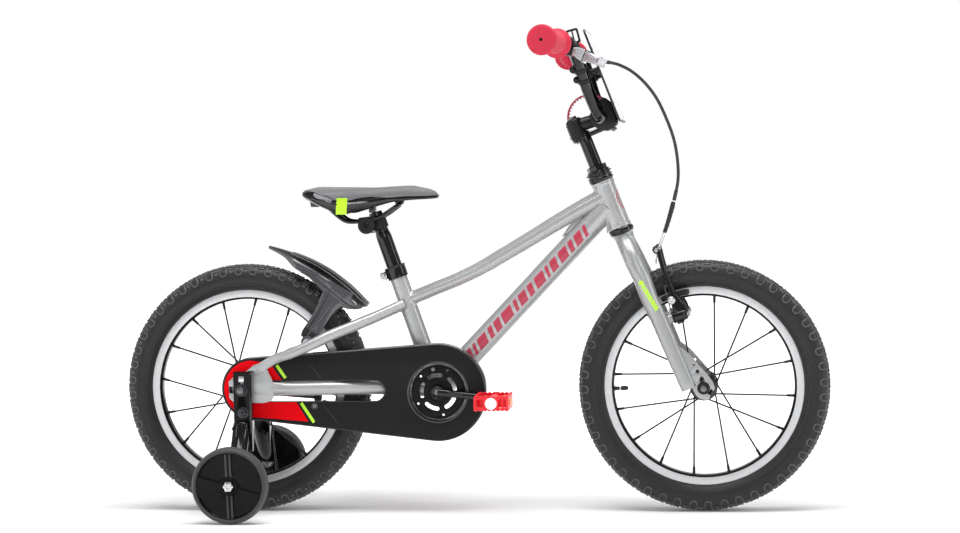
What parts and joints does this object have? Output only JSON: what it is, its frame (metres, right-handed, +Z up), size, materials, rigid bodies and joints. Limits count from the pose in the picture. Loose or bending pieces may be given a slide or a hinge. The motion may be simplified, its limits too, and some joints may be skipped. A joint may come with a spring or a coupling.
{
  "type": "kids bike with stabilisers",
  "caption": "Small-wheeled kids bike with stabilisers, curved top tube, full chain guard, short rear fender, padded saddle, risen bar with mushroom grips and a front rim brake.",
  "frame": {"origin": "on the ground, midway between the two wheel contacts, in the bike's middle plane", "axes": "+X forward, +Y to the rider's left, +Z up"},
  "size_m": [1.141, 0.5604, 0.7676],
  "materials": {
    "frame_paint": "satin silver-grey paint",
    "fork_paint": "satin silver-grey paint",
    "black_alloy": "satin black",
    "black_steel": "gloss black",
    "guard_plastic": "satin black with red and lime panels",
    "fender_plastic": "dark grey, glossy",
    "saddle_cover": "matt grey cover, padded",
    "saddle_base": "gloss black",
    "tyre_rubber": "knobbly black rubber",
    "pad_rubber": "matt black",
    "rim_alloy": "brushed silver",
    "lever_alloy": "polished silver",
    "spoke_steel": "black",
    "plated_steel": "zinc plated",
    "grip_rubber": "matt crimson",
    "pedal_plastic": "red",
    "stabiliser_wheel": "dark grey with a rubber ring",
    "plate_white": "white",
    "cable_black": "black cable housing"
  },
  "bodies": {
    "frame": {"head_tube": "frame_paint", "top_tube": "frame_paint", "down_tube": "frame_paint", "seat_tube": "frame_paint", "bb_shell": "frame_paint", "chainstay_right": "frame_paint", "chainstay_left": "frame_paint", "seatstay_right": "frame_paint", "seatstay_left": "frame_paint", "seat_clamp": "black_alloy", "headset_lower_cup": "black_alloy", "headset_upper_cup": "black_alloy", "bottom_bracket": "plated_steel", "chain_guard": "guard_plastic", "chain": "black_steel", "rear_axle": "plated_steel", "rear_fender": "fender_plastic", "stabiliser_bracket_right": "black_steel", "stabiliser_bracket_left": "black_steel", "coaster_brake_arm": "black_steel"},
    "saddle": {"seatpost": "black_steel", "saddle_clamp": "black_steel", "saddle_rails": "black_steel", "saddle_base": "saddle_base", "saddle_cover": "saddle_cover"},
    "steering": {"fork_steerer": "fork_paint", "fork_leg_right": "fork_paint", "fork_leg_left": "fork_paint", "front_axle": "plated_steel", "headset_locknut": "black_alloy", "stem": "black_alloy", "handlebar": "black_steel", "grip_right": "grip_rubber", "grip_left": "grip_rubber", "brake_lever_housing": "black_alloy", "brake_cable": "cable_black", "cable_noodle": "plated_steel", "number_plate": "plate_white"},
    "brake_lever": {"brake_lever": "lever_alloy"},
    "brake_arm_right": {"brake_arm_right": "black_alloy", "brake_pad_right": "pad_rubber"},
    "brake_arm_left": {"brake_arm_left": "black_alloy", "brake_pad_left": "pad_rubber"},
    "front_wheel": {"front_tyre": "tyre_rubber", "front_rim": "rim_alloy", "front_spokes": "spoke_steel", "front_hub": "black_alloy"},
    "rear_wheel": {"rear_tyre": "tyre_rubber", "rear_rim": "rim_alloy", "rear_spokes": "spoke_steel", "rear_hub": "black_alloy"},
    "sprocket": {"rear_sprocket": "plated_steel"},
    "crank": {"crank_spindle": "plated_steel", "crank_right": "black_steel", "crank_left": "black_steel", "chainring": "black_steel"},
    "pedal_right": {"pedal_right": "pedal_plastic"},
    "pedal_left": {"pedal_left": "pedal_plastic"},
    "stabiliser_wheel_right": {"stabiliser_wheel_right": "stabiliser_wheel"},
    "stabiliser_wheel_left": {"stabiliser_wheel_left": "stabiliser_wheel"}
  },
  "joints": [
    {"name": "saddle_height", "type": "slide", "parent": "frame", "child": "saddle", "axis": [-0.3256, 0, 0.9455], "range_m": [-0.05, 0.06]},
    {"name": "steer", "type": "hinge", "parent": "frame", "child": "steering", "pos_m": [0.224, 0, 0.4915], "axis": [-0.3584, 0, 0.9336], "range_deg": [-60, 60]},
    {"name": "front_wheel_spin", "type": "hinge", "parent": "steering", "child": "front_wheel", "pos_m": [0.3695, 0, 0.201], "axis": [0, 1, 0], "continuous": true},
    {"name": "rear_wheel_spin", "type": "hinge", "parent": "frame", "child": "rear_wheel", "pos_m": [-0.3695, 0, 0.201], "axis": [0, 1, 0], "continuous": true},
    {"name": "crank_spin", "type": "hinge", "parent": "frame", "child": "crank", "pos_m": [-0.054, 0, 0.195], "axis": [0, 1, 0], "continuous": true},
    {"name": "sprocket_spin", "type": "hinge", "parent": "frame", "child": "sprocket", "pos_m": [-0.3695, -0.039, 0.201], "axis": [0, 1, 0], "continuous": true},
    {"name": "pedal_right_spin", "type": "hinge", "parent": "crank", "child": "pedal_right", "pos_m": [0.04267, -0.119, 0.18705], "axis": [0, 1, 0], "continuous": true},
    {"name": "pedal_left_spin", "type": "hinge", "parent": "crank", "child": "pedal_left", "pos_m": [-0.15067, 0.119, 0.20295], "axis": [0, 1, 0], "continuous": true},
    {"name": "stabiliser_wheel_right_spin", "type": "hinge", "parent": "frame", "child": "stabiliser_wheel_right", "pos_m": [-0.3695, -0.163, 0.0603], "axis": [0, 1, 0], "continuous": true},
    {"name": "stabiliser_wheel_left_spin", "type": "hinge", "parent": "frame", "child": "stabiliser_wheel_left", "pos_m": [-0.3695, 0.163, 0.0603], "axis": [0, 1, 0], "continuous": true},
    {"name": "brake_lever_pull", "type": "hinge", "parent": "steering", "child": "brake_lever", "pos_m": [0.1959, -0.1465, 0.7218], "axis": [-0.4067, 0, -0.9136], "range_deg": [0, 18], "stiffness_Nm_per_rad": 1.5, "springref_deg": -17.19},
    {"name": "brake_arm_right_swing", "type": "hinge", "parent": "steering", "child": "brake_arm_right", "pos_m": [0.331, -0.042, 0.3145], "axis": [0.9511, 0, 0.309], "range_deg": [-2.4, 0]},
    {"name": "brake_arm_left_swing", "type": "hinge", "parent": "steering", "child": "brake_arm_left", "pos_m": [0.331, 0.042, 0.3145], "axis": [0.9511, 0, 0.309], "range_deg": [0, 2.4]}
  ],
  "couplings": [
    {"joint": "sprocket_spin", "follows": "crank_spin", "ratio": 2},
    {"joint": "brake_arm_right_swing", "follows": "brake_lever_pull", "ratio": -0.132},
    {"joint": "brake_arm_left_swing", "follows": "brake_lever_pull", "ratio": 0.132}
  ]
}
